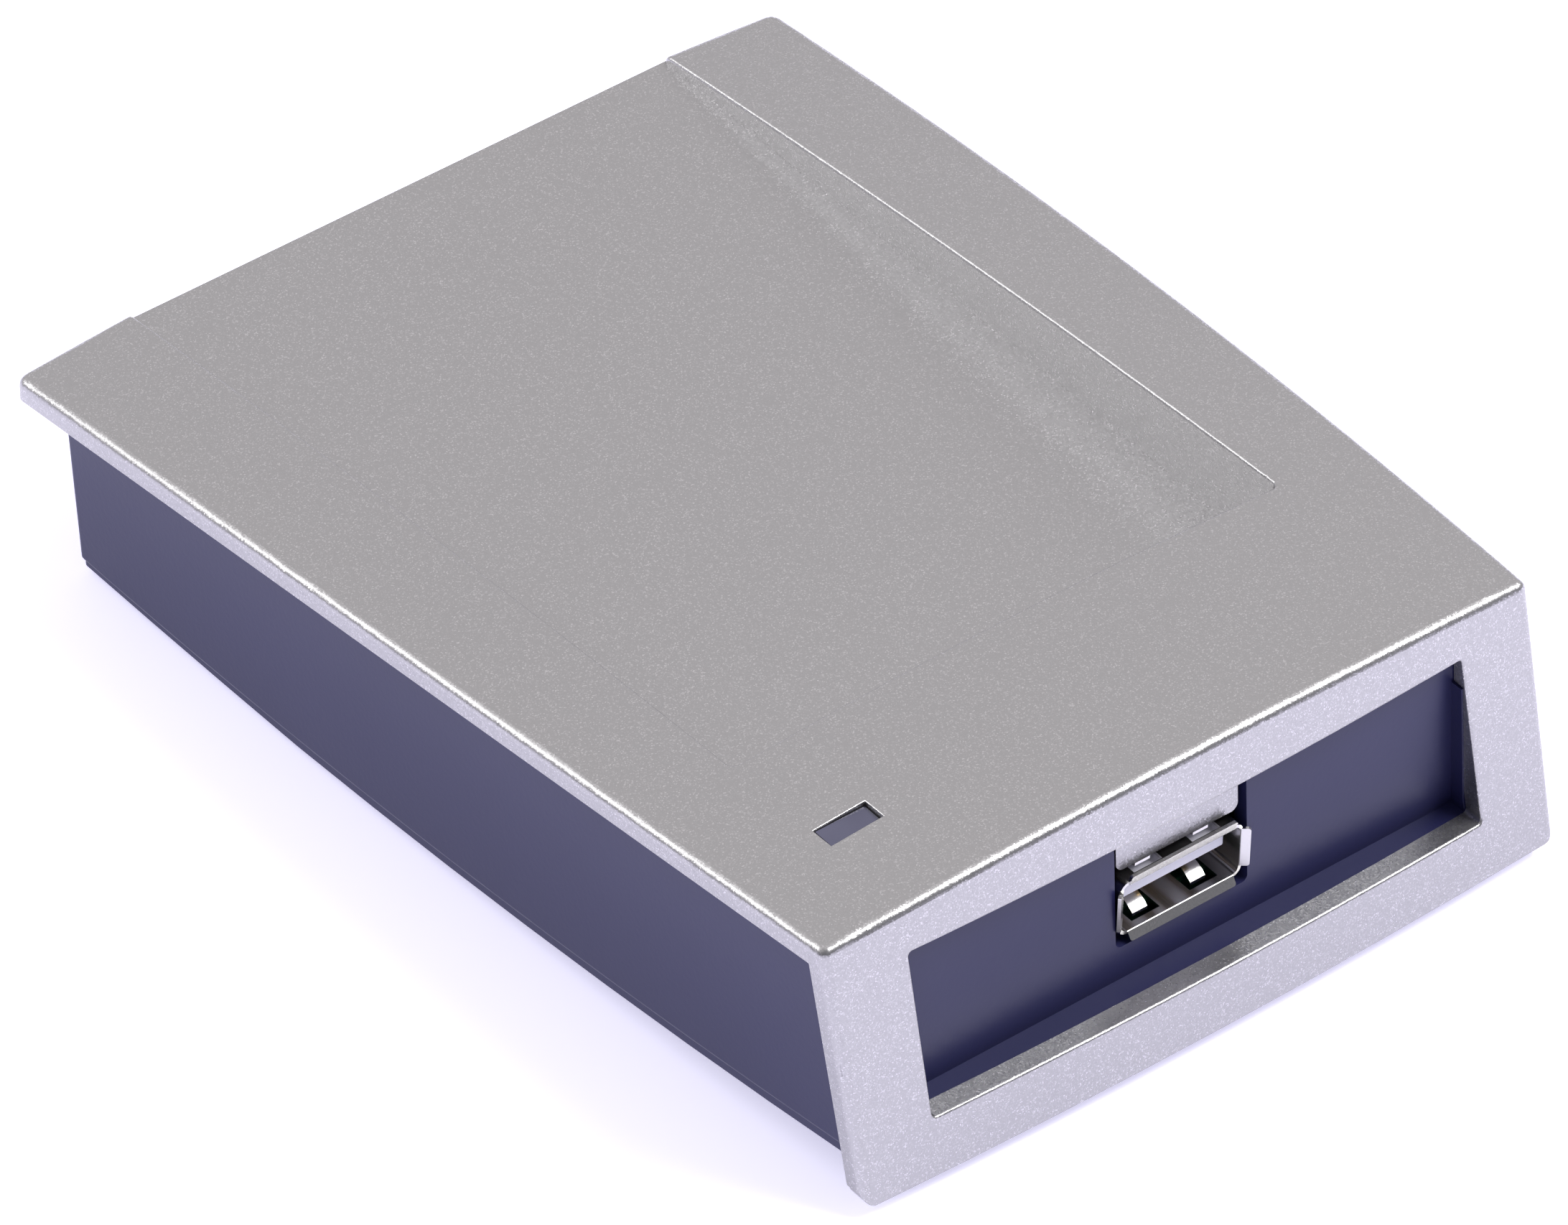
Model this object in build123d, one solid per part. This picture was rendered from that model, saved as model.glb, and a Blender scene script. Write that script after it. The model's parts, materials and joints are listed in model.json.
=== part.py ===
"""Desktop card reader: a silver cover with an open card tray, on a slate-blue casing with a USB-A socket.

X runs across the reader, +Y points to the open end of the card tray and +Z up.
The origin is on the table, under the middle of the body. Lengths are millimetres.
"""

from build123d import *
import math
import os

# Cover, in plan: the sides spread and bow a little towards the open end of the tray.
rear_edge_y = 56.3
front_corner_y = -49.1
front_half_width = 37.5
rear_half_width = 41.35
side_bow = 0.89
front_corner_radius = 0.9
rear_corner_radius = 1.2

# Cover, in side view: the deck climbs to the apron, arched along its length and crowned across it.
front_corner_z = 25.6
rear_corner_z = 17.1
deck_arch = 1.17
deck_crown = 1.58
deck_thickness = 2.0
deck_edge_radius = 0.8

# Apron: the cover's front face, which leans out at its foot.
apron_foot_z = 1.4
apron_lean = 0.251
apron_bow_top = 1.18
apron_bow_foot = 0.94
apron_thickness = 2.0
apron_foot_radius = 1.2
window_half_width = 29.45
window_top_z = 22.05
window_sill_z = 6.6
window_rim_radius = 0.25
window_corner_radius = 0.4

# Card tray, sunk into the deck and open at the rear.
tray_half_width = 29.1
tray_front_y = -26.9
tray_floor_z = 17.0
tray_floor_thickness = 1.6
tray_wall = 1.6
tray_corner_radius = 0.8
tray_rim_radius = 0.3

# Status window in the deck, and the lens that fills it.
lens_x = -26.3
lens_y = -38.5
lens_width = 5.35
lens_length = 2.35
lens_gap = 0.1
lens_sink = 0.35
lens_rim_radius = 0.15
lens_flange_width = 7.2
lens_flange_length = 4.0
light_guide_width = 3.4
light_guide_length = 2.2
lamp_radius = 1.5
lamp_leg_x = 1.27

# Lower casing.
casing_wall = 2.0
casing_base_z = 0.8
casing_floor_z = 2.8
casing_inset = 0.9
casing_draft = 0.0
casing_rear_y = 50.2
casing_rear_z = 14.5
casing_rear_lean = 0.127
casing_rear_radius = 0.6
skirt_tangent_y = 45.0
skirt_rear_rise = 0.5
skirt_front_rise = 4.2
skirt_edge_radius = 0.4
step_inset = 0.2
step_height = 0.8
plinth_inset = 2.8
join_gap = 0.1

# Casing front: a frame fills the apron's window, and a flat wall stands back inside it.
frame_y = -51.8
frame_lean = 0.095
frame_bow = 1.0
frame_half_width = 32.0
frame_top_z = 19.2
frame_low_z = 4.6
frame_rear_y = -47.5
window_wall_top_z = 22.6
window_wall_y = -50.5
window_wall_lean = 0.081
window_wall_thickness = 1.6
notch_half_width = 7.05
notch_low_z = 9.8
tab_half_width = 6.5
tab_low_z = 17.3
tab_setback = 0.45
tab_thickness = 1.4
tab_corner_radius = 0.8

# Circuit board.
board_width = 54.0
board_front_width = 59.0
board_front_length = 10.0
board_front_y = -47.6
board_rear_y = -3.0
board_top_z = 10.55
board_thickness = 1.6

# USB-A socket, at its standard sizes.
socket_front_y = -49.9
socket_length = 14.0
socket_width = 13.1
socket_height = 5.72
socket_sheet = 0.3
tongue_width = 11.1
tongue_thickness = 1.84
tongue_setback = 1.12
spring_x = 3.1
spring_width = 1.6
spring_gap_width = 3.0
lip_width = 11.3
side_lip_height = 4.1

# Posts, screws and feet.
case_screw_points = ((-32.0, -33.6), (32.0, -33.6), (-34.4, 43.0), (34.4, 43.0))
board_screw_points = ((-20.0, -43.6), (20.0, -43.6), (-23.0, -7.0), (23.0, -7.0))
case_screw_radius = 1.3
case_head_radius = 2.3
case_seat_z = 4.0
case_screw_tip_z = 14.5
board_screw_radius = 1.0
board_head_radius = 1.8
post_radius = 2.5
casing_post_radius = 3.2
post_meet_z = 9.0
standoff_radius = 2.4
foot_points = ((-26.0, -42.0), (26.0, -42.0), (-27.0, 33.0), (27.0, 33.0))
foot_radius = 4.5
foot_height = 1.5
label_width = 46.0
label_length = 26.0

# Aerial coil, glued under the tray floor.
coil_width = 46.0
coil_length = 62.0
coil_band = 3.2
coil_height = 1.6
coil_middle_y = 15.0
pad_thickness = 0.25

# Parts on the board: where their middles stand, then width, length and height.
microcontroller_place = (-3.0, -12.5)
microcontroller_size = (7.0, 7.0, 1.3)
reader_chip_place = (5.6, -7.8)
reader_chip_size = (5.0, 6.4, 1.5)
crystal_place = (-16.0, -14.0)
crystal_size = (10.8, 4.6, 2.7)
regulator_place = (16.3, -22.3)
regulator_size = (6.5, 3.5, 1.7)
regulator_tab_size = (3.0, 5.5, 0.3)
regulator_pitch = 2.3
film_place = (-21.0, -27.9)
film_size = (3.0, 7.2, 4.2)
inductor_place = (13.5, -11.5)
inductor_size = (6.0, 6.0, 2.4)
inductor_core_radius = 2.4
fuse_place = (0.0, -30.9)
fuse_size = (4.6, 3.2, 0.9)
capacitor_chip_size = (1.25, 2.0, 0.9)
resistor_chip_size = (1.2, 2.0, 0.5)
buzzer_place = (14.5, -36.0)
buzzer_radius = 6.0
buzzer_height = 7.5
electrolytic_place = (-12.0, -34.0)
electrolytic_radius = 3.15
electrolytic_height = 7.0
part_edge_radius = 0.4

deck_length = rear_edge_y - front_corner_y
deck_drop = front_corner_z - rear_corner_z
deck_tilt = math.atan2(deck_drop, deck_length)
deck_chord = math.hypot(deck_length, deck_drop)
arch_radius = deck_chord**2 / (8 * deck_arch) + deck_arch / 2
crown_radius = front_half_width**2 / (2 * deck_crown) + deck_crown / 2
board_low_z = board_top_z - board_thickness
socket_middle_z = board_top_z + socket_height / 2 + 0.05
socket_leg_y = socket_front_y + 9.0
contact_places = (-3.5, -1.0, 1.0, 3.5)
coil_lead_places = (3.6, 6.2)
coil_lead_y = coil_middle_y - coil_length / 2 + coil_band / 2
coil_top_z = tray_floor_z - tray_floor_thickness - pad_thickness
coil_low_z = coil_top_z - coil_height
chip_pitch = 2.5
capacitor_places = [(-9.0 + chip_pitch * step, -22.0) for step in range(5)]
capacitor_places += [(-24.0, -20.0 + chip_pitch * step) for step in range(4)]
resistor_places = [(-9.0 + chip_pitch * step, -26.0) for step in range(6)]
resistor_places += [(23.5, -30.0 + chip_pitch * step) for step in range(5)]
tall = 34.0
wide = 60.0
far = 80.0


def side_x(y):
    """Half the cover's width at y."""
    part = (y - front_corner_y) / deck_length
    straight = front_half_width + (rear_half_width - front_half_width) * part
    return straight + 4 * side_bow * part * (1 - part)


def apron_corner_y(z):
    """Where the apron's outer face meets the side of the cover at height z."""
    return front_corner_y - apron_lean * (front_corner_z - z)


def apron_y(x, z):
    """The apron's outer face, bowed forward between its corners."""
    share = (front_corner_z - z) / (front_corner_z - apron_foot_z)
    bow = apron_bow_top + (apron_bow_foot - apron_bow_top) * share
    half = side_x(apron_corner_y(z))
    return apron_corner_y(z) - bow * (1 - (x / half) ** 2)


def deck_z(x, y):
    """Height of the deck's outer face."""
    part = (y - front_corner_y) / deck_length
    chord = front_corner_z - deck_drop * part
    return chord + 4 * deck_arch * part * (1 - part) + deck_crown * (1 - (x / front_half_width) ** 2)


def plan(z, side_inset, front_inset, rear_y):
    """Plan face at height z, inset from the cover's sides and the apron, as far back as rear_y."""
    front_x = side_x(apron_corner_y(z) + front_inset) - side_inset
    corner_y = apron_y(front_x, z) + front_inset
    middle_y = (corner_y + rear_y) / 2
    rear_x = side_x(rear_y) - side_inset
    middle_x = side_x(middle_y) - side_inset
    front = ThreePointArc((-front_x, corner_y), (0, apron_y(0, z) + front_inset), (front_x, corner_y))
    right = ThreePointArc((front_x, corner_y), (middle_x, middle_y), (rear_x, rear_y))
    rear = Line((rear_x, rear_y), (-rear_x, rear_y))
    left = ThreePointArc((-rear_x, rear_y), (-middle_x, middle_y), (-front_x, corner_y))
    return Pos(0, 0, z) * make_face([front, right, rear, left])


def under_deck(drop):
    """Everything below the deck's face lowered by drop, as a thick crowned and arched block."""
    crest = arch_radius + deck_crown - drop
    radius = crown_radius - drop
    edge = crest - (radius - math.sqrt(radius**2 - wide**2))
    low = arch_radius - 2 * tall
    crown = ThreePointArc((-wide, edge), (0, crest), (wide, edge))
    sides = Polyline((wide, edge), (wide, low), (-wide, low), (-wide, edge))
    section = Plane.XZ * make_face([crown, sides])
    swing = 10.0
    slab = revolve(Rot(X=-swing / 2) * section, Axis.X, swing)
    middle_y = (front_corner_y + rear_edge_y) / 2
    middle_z = (front_corner_z + rear_corner_z) / 2
    depth = arch_radius - deck_arch
    centre_y = middle_y - depth * math.sin(deck_tilt)
    centre_z = middle_z - depth * math.cos(deck_tilt)
    return Pos(0, centre_y, centre_z) * Rot(X=-math.degrees(deck_tilt)) * slab


def post(x, y, low_z, high_z, radius):
    """A round post or hole from low_z to high_z."""
    return Pos(x, y, (low_z + high_z) / 2) * Cylinder(radius, high_z - low_z)


def block(low, high):
    """A box between two opposite corners."""
    size = [high[axis] - low[axis] for axis in range(3)]
    middle = [(high[axis] + low[axis]) / 2 for axis in range(3)]
    return Pos(*middle) * Box(*size)


def on_board(place, size):
    """A box standing on the board."""
    x, y = place
    width, length, height = size
    low = (x - width / 2, y - length / 2, board_top_z)
    return block(low, (x + width / 2, y + length / 2, board_top_z + height))


def round_top(part, radius):
    """The part with its top edges rounded."""
    return fillet(part.edges().group_by(Axis.Z)[-1], radius)


def upright_edges(part, shortest):
    """The edges that climb at least the shortest height."""
    return part.edges().filter_by(lambda edge: edge.bounding_box().size.Z > shortest)


def behind_face(y, lean, bow, half_width):
    """All that lies behind a leaning, bowed upright face; y is where the face's ends stand at the sill."""
    def level(z):
        end_y = y + lean * (z - window_sill_z)
        front = ThreePointArc((-half_width, end_y), (0, end_y - bow), (half_width, end_y))
        rest = Polyline((half_width, end_y), (half_width, tall), (-half_width, tall), (-half_width, end_y))
        return Pos(0, 0, z) * make_face([front, rest])
    return loft([level(0), level(tall)], ruled=True)


def frame_space(grow):
    """Where the casing's frame, and the wall above it, reach forward into the back of the apron."""
    reach = frame_half_width + grow
    face = behind_face(frame_y, frame_lean, frame_bow, reach)
    frame = face & block((-reach, -wide, frame_low_z - grow), (reach, frame_rear_y, frame_top_z + grow))
    wall_block = block((-reach, -wide, frame_top_z - 1), (reach, frame_rear_y, window_wall_top_z + grow))
    return frame + (behind_window_wall(-grow) & wall_block)


def behind_window_wall(depth):
    """All that lies behind the flat wall in the window, moved back by depth."""
    low_y = window_wall_y + depth - window_wall_lean * window_sill_z
    high_y = low_y + window_wall_lean * tall
    side = make_face(Polyline((low_y, 0), (high_y, tall), (far, tall), (far, 0), close=True))
    return Pos(-wide, 0, 0) * extrude(Plane.YZ * side, 2 * wide)


def cover_blank():
    """The cover's outer form as one solid, with its edges rounded."""
    blank = loft([plan(apron_foot_z, 0, 0, rear_edge_y), plan(tall, 0, 0, rear_edge_y)], ruled=True)
    corners = upright_edges(blank, 20)
    blank = fillet(corners.filter_by(lambda edge: edge.center().Y < 0), front_corner_radius)
    corners = upright_edges(blank, 15).filter_by(lambda edge: edge.center().Y > rear_edge_y - 1)
    blank = fillet(corners, rear_corner_radius)
    blank = blank & under_deck(0)
    deck = blank.faces().filter_by(GeomType.TORUS).sort_by(SortBy.AREA)[-1]
    return fillet(deck.edges(), deck_edge_radius)


def tray_pocket():
    """The space of the card tray, from its floor up and out past its open end."""
    length = rear_edge_y - tray_front_y + 2 * tray_wall
    floor = Rectangle(2 * tray_half_width, length)
    floor = fillet(floor.vertices(), tray_corner_radius)
    middle_y = tray_front_y + length / 2
    return extrude(Pos(0, middle_y, tray_floor_z) * floor, tall - tray_floor_z)


def tray_shell(blank):
    """The tray's floor and the walls that hang from the deck round it."""
    reach = tray_half_width + tray_wall
    low_z = tray_floor_z - tray_floor_thickness
    outer = block((-reach, tray_front_y - tray_wall, low_z), (reach, rear_edge_y + 5, tall))
    return outer & blank


def window_cut():
    """The apron's window, cut straight back."""
    opening = Rectangle(2 * window_half_width, window_top_z - window_sill_z)
    opening = fillet(opening.vertices(), window_corner_radius)
    middle_z = (window_top_z + window_sill_z) / 2
    return Pos(0, -70, middle_z) * extrude(Rot(X=-90) * opening, 25)


def socket_tab():
    """The cover's tab that closes the casing's notch above the socket."""
    tab = block((-tab_half_width, -60, tab_low_z), (tab_half_width, -40, 24.5))
    tab = fillet(tab.edges().filter_by(Axis.Y).sort_by(Axis.Z)[:2], tab_corner_radius)
    return tab & (behind_window_wall(tab_setback) - behind_window_wall(tab_setback + tab_thickness))


def foot_corner(side):
    """What the rounding at one lower corner of the apron takes away."""
    corner_x = side_x(apron_corner_y(apron_foot_z)) * side
    centre_x = corner_x - apron_foot_radius * side
    low = (min(centre_x, corner_x + side), -60, apron_foot_z - 1)
    high = (max(centre_x, corner_x + side), -50, apron_foot_z + apron_foot_radius)
    rounding = Pos(centre_x, -55, high[2]) * Rot(X=90) * Cylinder(apron_foot_radius, 12)
    return block(low, high) - rounding


def tray_rim(cover):
    """The edges where the tray's walls meet the deck."""
    def on_rim(edge):
        middle = edge @ 0.5
        beside = abs(abs(middle.X) - tray_half_width) < 0.9 and middle.Y > tray_front_y
        ahead = abs(middle.Y - tray_front_y) < 0.9 and abs(middle.X) < tray_half_width
        return (beside or ahead) and abs(middle.Z - deck_z(middle.X, middle.Y)) < 0.12
    return cover.edges().filter_by(on_rim)


def window_rim(cover):
    """The window's front edges."""
    def on_rim(edge):
        middle = edge @ 0.5
        across = abs(middle.X) < window_half_width + 0.1
        upright = window_sill_z - 0.1 < middle.Z < window_top_z + 0.1
        return across and upright and abs(middle.Y - apron_y(middle.X, middle.Z)) < 0.12
    return cover.edges().filter_by(on_rim)


def lens_rim(cover):
    """The upper edges of the hole for the lens."""
    def on_rim(edge):
        middle = edge @ 0.5
        across = abs(middle.X - lens_x) < lens_width / 2 + 0.1
        along = abs(middle.Y - lens_y) < lens_length / 2 + 0.1
        return across and along and abs(middle.Z - deck_z(middle.X, middle.Y)) < 0.1
    return cover.edges().filter_by(on_rim)


def top_cover():
    """Deck, tray, apron, tab and screw posts in one moulding."""
    blank = cover_blank()
    behind_apron = loft(
        [plan(0, -6, apron_thickness, rear_edge_y + 6), plan(tall, -6, apron_thickness, rear_edge_y + 6)],
        ruled=True,
    )
    cover = blank - (behind_apron & under_deck(deck_thickness))
    cover = cover + (tray_shell(blank) & under_deck(0.4))
    for x, y in case_screw_points:
        top = deck_z(x, y) - deck_thickness / 2
        cover = cover + post(x, y, post_meet_z, top, post_radius)
        cover = cover - post(x, y, post_meet_z - 1, post_meet_z + 7, case_screw_radius)
    cover = cover - tray_pocket() - window_cut()
    cover = cover - frame_space(join_gap)
    cover = cover + (socket_tab() & under_deck(0.6))
    lens_hole = Rectangle(lens_width, lens_length)
    cover = cover - Pos(lens_x, lens_y, 20) * extrude(lens_hole, 12)
    for side in (-1, 1):
        cover = cover - foot_corner(side)
    cover = fillet(tray_rim(cover), tray_rim_radius)
    cover = fillet(lens_rim(cover), lens_rim_radius)
    return fillet(window_rim(cover), window_rim_radius)


def casing_plan(z, extra):
    """The casing's plan at height z, drawn in by extra from its outer faces."""
    inset = casing_inset + casing_draft * (20 - z) + extra
    rear = casing_rear_y - casing_rear_lean * (casing_rear_z - z) - extra
    return plan(z, inset, apron_thickness + join_gap + extra, rear)


def casing_between(low_z, high_z, extra):
    """The solid casing from low_z to high_z, drawn in by extra."""
    return loft([casing_plan(low_z, extra), casing_plan(high_z, extra)], ruled=True)


def above_skirt(drop):
    """The space above the skirt's lower edge moved down by drop; the edge rises in an arc to the apron."""
    run = skirt_tangent_y - front_corner_y
    rise = skirt_front_rise - skirt_rear_rise
    low_z = casing_base_z + skirt_rear_rise - drop
    radius = run**2 / (2 * rise) + rise / 2
    start_y = front_corner_y - 12
    middle_y = (start_y + skirt_tangent_y) / 2

    def edge_z(y):
        return low_z + radius - math.sqrt(radius**2 - (skirt_tangent_y - y) ** 2)

    start = (start_y, edge_z(start_y))
    tangent = (skirt_tangent_y, low_z)
    arc = ThreePointArc(start, (middle_y, edge_z(middle_y)), tangent)
    rest = Polyline(tangent, (far, low_z), (far, tall), (start_y, tall), start)
    return Pos(-wide, 0, 0) * extrude(Plane.YZ * make_face([arc, rest]), 2 * wide)


def casing_form(extra):
    """The casing's outer form drawn in by extra, with rounded rear corners."""
    form = casing_between(casing_base_z, tall, extra)
    rear = upright_edges(form, 20).filter_by(lambda edge: edge.center().Y > 0)
    return fillet(rear, casing_rear_radius)


def casing_hull():
    """Skirt with a rounded lower edge, and the low step that shows under it."""
    skirt = casing_form(0) & above_skirt(0)
    low = skirt.edges().filter_by(lambda edge: edge.center().Y > 45 and edge.center().Z < 2)
    skirt = fillet(low, skirt_edge_radius)
    return skirt + (casing_form(step_inset) & above_skirt(step_height))


def bottom_casing():
    """Tub with a stepped base, window frame, socket notch, screw posts and board standoffs."""
    plinth = casing_between(casing_base_z, casing_base_z + 5, plinth_inset)
    cavity = casing_between(casing_floor_z, tall, casing_wall)
    cavity = cavity & behind_window_wall(window_wall_thickness)
    casing = casing_hull() + plinth + frame_space(0) - cavity
    for x, y in case_screw_points:
        casing = casing + post(x, y, casing_floor_z - 1, post_meet_z - join_gap, casing_post_radius)
    for x, y in board_screw_points:
        casing = casing + post(x, y, casing_floor_z - 1, board_low_z, standoff_radius)
    casing = casing & under_deck(deck_thickness + join_gap)
    reach = tray_half_width + tray_wall + join_gap
    under_tray = tray_floor_z - tray_floor_thickness - join_gap
    casing = casing - block((-reach, tray_front_y - tray_wall - join_gap, under_tray), (reach, 70, tall))
    pocket = block((-window_half_width + 0.2, -70, window_sill_z - 0.1), (window_half_width - 0.2, 0, tall))
    casing = casing - (pocket - behind_window_wall(0))
    notch = block((-notch_half_width, -60, notch_low_z), (notch_half_width, -44, tall))
    casing = casing - fillet(notch.edges().filter_by(Axis.Y).sort_by(Axis.Z)[:2], 0.6)
    for x, y in case_screw_points:
        casing = casing - post(x, y, 0, case_seat_z, case_head_radius + 0.3)
        casing = casing - post(x, y, 0, tall, case_screw_radius + 0.2)
    for x, y in board_screw_points:
        casing = casing - post(x, y, casing_floor_z + 0.5, tall, board_screw_radius)
    for x, y in foot_points:
        casing = casing - post(x, y, 0, foot_height, foot_radius + 0.15)
    label = (label_width / 2 + 0.3, label_length / 2 + 0.3)
    return casing - block((-label[0], -label[1], 0), (label[0], label[1], casing_base_z + 0.25))


def lens_block(width, length, low_z, high_z):
    """A block centred on the lens."""
    low = (lens_x - width / 2, lens_y - length / 2, low_z)
    return block(low, (lens_x + width / 2, lens_y + length / 2, high_z))


def led_lens():
    """Clear window and light guide over the status lamp, held by a flange under the deck."""
    top_z = deck_z(lens_x, lens_y) - lens_sink
    under_z = deck_z(lens_x, lens_y) - deck_thickness
    window = lens_block(lens_width - 2 * lens_gap, lens_length - 2 * lens_gap, under_z - 1, top_z)
    flange = lens_block(lens_flange_width, lens_flange_length, under_z - 1.4, under_z - 0.4)
    guide = lens_block(light_guide_width, light_guide_length, board_top_z + 5.7, under_z - 1)
    return window + flange + guide


def status_led():
    """Round 3 mm lamp on the board, under the light guide."""
    dome_z = board_top_z + 3.9
    lamp = post(lens_x, lens_y, board_top_z + 0.9, dome_z, lamp_radius)
    lamp = lamp + post(lens_x, lens_y, board_top_z + 0.5, board_top_z + 1.4, lamp_radius + 0.4)
    lamp = lamp + Pos(lens_x, lens_y, dome_z) * Sphere(lamp_radius)
    for side in (-lamp_leg_x, lamp_leg_x):
        lamp = lamp + post(lens_x + side, lens_y, board_low_z - 1.2, board_top_z + 1, 0.25)
    return lamp


def circuit_board():
    """Board with a wider front strip that carries the status lamp."""
    length = board_rear_y - board_front_y
    main = Pos(0, (board_rear_y + board_front_y) / 2) * Rectangle(board_width, length)
    strip = Pos(0, board_front_y + board_front_length / 2) * Rectangle(board_front_width, board_front_length)
    board = extrude(Pos(0, 0, board_low_z) * (main + strip), board_thickness)
    for x, y in board_screw_points:
        board = board - post(x, y, 0, tall, board_screw_radius + 0.1)
    for x in (-lamp_leg_x, lamp_leg_x):
        board = board - post(lens_x + x, lens_y, 0, tall, 0.35)
    for x in coil_lead_places:
        board = board - post(x, coil_lead_y, 0, tall, 0.4)
    for x in contact_places:
        board = board - post(x, socket_front_y + socket_length + 0.5, 0, tall, 0.6)
    for side in (-1, 1):
        leg_x = side * (socket_width / 2 - socket_sheet / 2)
        board = board - block((leg_x - 0.4, socket_leg_y - 1.3, 0), (leg_x + 0.4, socket_leg_y + 1.3, tall))
    return board


def socket_profile(shrink):
    """Rounded outline of the socket shell, drawn in by shrink, facing the front."""
    outline = RectangleRounded(socket_width - 2 * shrink, socket_height - 2 * shrink, 0.9 - shrink)
    return Pos(0, socket_front_y, socket_middle_z) * Rot(X=-90) * outline


def lip(x, z, turn, width, length, spread):
    """One lip of the socket's mouth, bent outwards by spread; turn is its side. Both are in degrees."""
    sheet = Box(width, length, socket_sheet)
    sheet = fillet(sheet.edges().filter_by(Axis.Z).sort_by(Axis.Y)[:2], 0.25)
    bent = Rot(X=-spread) * Pos(0, -length / 2, 0) * sheet
    bend = Rot(Y=90) * Cylinder(socket_sheet / 2, width)
    return Pos(x, socket_front_y, socket_middle_z + z) * Rot(Y=turn) * (bent + bend)


def spring(x, side):
    """Spring finger in the floor (side -1) or roof (side 1): it bulges in, and its tip turns back."""
    bulge = 0.75 if side < 0 else 0.2
    sheet_z = socket_height / 2 - socket_sheet / 2
    points = ((7.25, 0.06), (4.4, bulge * 0.85), (3.1, bulge), (2.1, bulge * 0.55), (1.4, -0.1))
    middle = [(socket_front_y + y, socket_middle_z + side * (sheet_z - up)) for y, up in points]
    high = [(y, z + socket_sheet / 2) for y, z in middle]
    low = [(y, z - socket_sheet / 2) for y, z in middle]
    edges = [Spline(*high), Line(high[-1], low[-1]), Spline(*low), Line(low[0], high[0])]
    return Pos(x - spring_width / 2, 0, 0) * extrude(Plane.YZ * make_face(edges), spring_width)


def usb_shell():
    """Folded steel shell of the socket: lips round its mouth, spring fingers and two board legs."""
    tube = extrude(socket_profile(0), socket_length, dir=(0, 1, 0))
    shell = tube - extrude(socket_profile(socket_sheet), socket_length, dir=(0, 1, 0))
    half_wide = socket_width / 2 - socket_sheet / 2
    half_tall = socket_height / 2 - socket_sheet / 2
    for x in (-spring_x, spring_x):
        low = (x - spring_gap_width / 2, socket_front_y + 0.65, 0)
        shell = shell - block(low, (x + spring_gap_width / 2, socket_front_y + 7.0, tall))
    shell = shell + lip(0, half_tall, 0, lip_width, 0.95, 76) + lip(0, -half_tall, 180, lip_width, 0.85, 55)
    shell = shell + lip(half_wide, 0.2, 90, side_lip_height, 0.8, 52)
    shell = shell + lip(-half_wide, 0.2, -90, side_lip_height, 0.8, 52)
    for side in (-1, 1):
        leg_x = side * half_wide
        low = (leg_x - socket_sheet / 2, socket_leg_y - 1, board_low_z - 1.0)
        high = (leg_x + socket_sheet / 2, socket_leg_y + 1, socket_middle_z)
        shell = shell + block(low, high)
    for x in (-spring_x, spring_x):
        for side in (-1, 1):
            shell = shell + spring(x, side)
    return shell


def contact(x):
    """One contact: a strip under the tongue, and a tail down through the board."""
    low_z = socket_middle_z + 0.15
    back_y = socket_front_y + socket_length + 0.4
    strip = block((x - 0.5, socket_front_y + 1.8, low_z - 0.12), (x + 0.5, back_y, low_z + 0.12))
    tail = block((x - 0.3, back_y - 0.1, board_low_z - 1.2), (x + 0.3, back_y + 0.15, low_z + 0.12))
    return strip + tail


def usb_contacts():
    """The socket's four contacts."""
    return Compound(children=[contact(x) for x in contact_places])


def usb_insulator():
    """White moulding in the socket: its tongue carries the contacts."""
    low_z = socket_middle_z + 0.15
    half = tongue_width / 2
    front = socket_front_y + tongue_setback
    rear = socket_front_y + socket_length
    tongue = block((-half, front, low_z), (half, rear, low_z + tongue_thickness))
    tongue = fillet(tongue.edges().filter_by(Axis.Z).sort_by(Axis.Y)[:2], 0.3)
    inner_wide = socket_width / 2 - socket_sheet - 0.05
    inner_tall = socket_height / 2 - socket_sheet - 0.05
    low = (-inner_wide, rear - 4.5, socket_middle_z - inner_tall)
    rear_block = block(low, (inner_wide, rear, socket_middle_z + inner_tall))
    rear_block = fillet(rear_block.edges().filter_by(Axis.Y), 0.6)
    moulding = tongue + rear_block
    for x in contact_places:
        moulding = moulding - contact(x)
    return moulding


def chip(place, size, leads, sides):
    """Moulded chip with flat leads along its sides; sides is 2 or 4."""
    x, y = place
    width, length, height = size
    package = on_board(place, size)
    pitch = (length - 1.2) / (leads - 1)
    for row in range(leads):
        along = 0.6 + pitch * row - length / 2
        for side in (-1, 1):
            package = package + on_board((x + side * (width / 2 + 0.3), y + along), (1.2, 0.3, 0.25))
            if sides == 4:
                package = package + on_board((x + along, y + side * (length / 2 + 0.3)), (0.3, 1.2, 0.25))
    return package


def crystal():
    """Metal-cased crystal lying on the board."""
    width, length, height = crystal_size
    can = Pos(*crystal_place, board_top_z) * extrude(SlotOverall(width, length), height)
    return round_top(can, part_edge_radius)


def voltage_regulator():
    """Three-lead regulator with a wide tab."""
    x, y = regulator_place
    tab_y = y + regulator_size[1] / 2
    part = on_board(regulator_place, regulator_size) + on_board((x, tab_y - 1), regulator_tab_size)
    lead_y = y - regulator_size[1] / 2 - 0.5
    for step in (-1, 0, 1):
        part = part + on_board((x + regulator_pitch * step, lead_y), (0.7, 1.6, 0.3))
    return part


def buzzer():
    """Round sounder with a hole in its top."""
    can = post(*buzzer_place, board_top_z, board_top_z + buzzer_height, buzzer_radius)
    can = round_top(can, part_edge_radius)
    return can - post(*buzzer_place, board_top_z + buzzer_height - 2, tall, 1.0)


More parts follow.
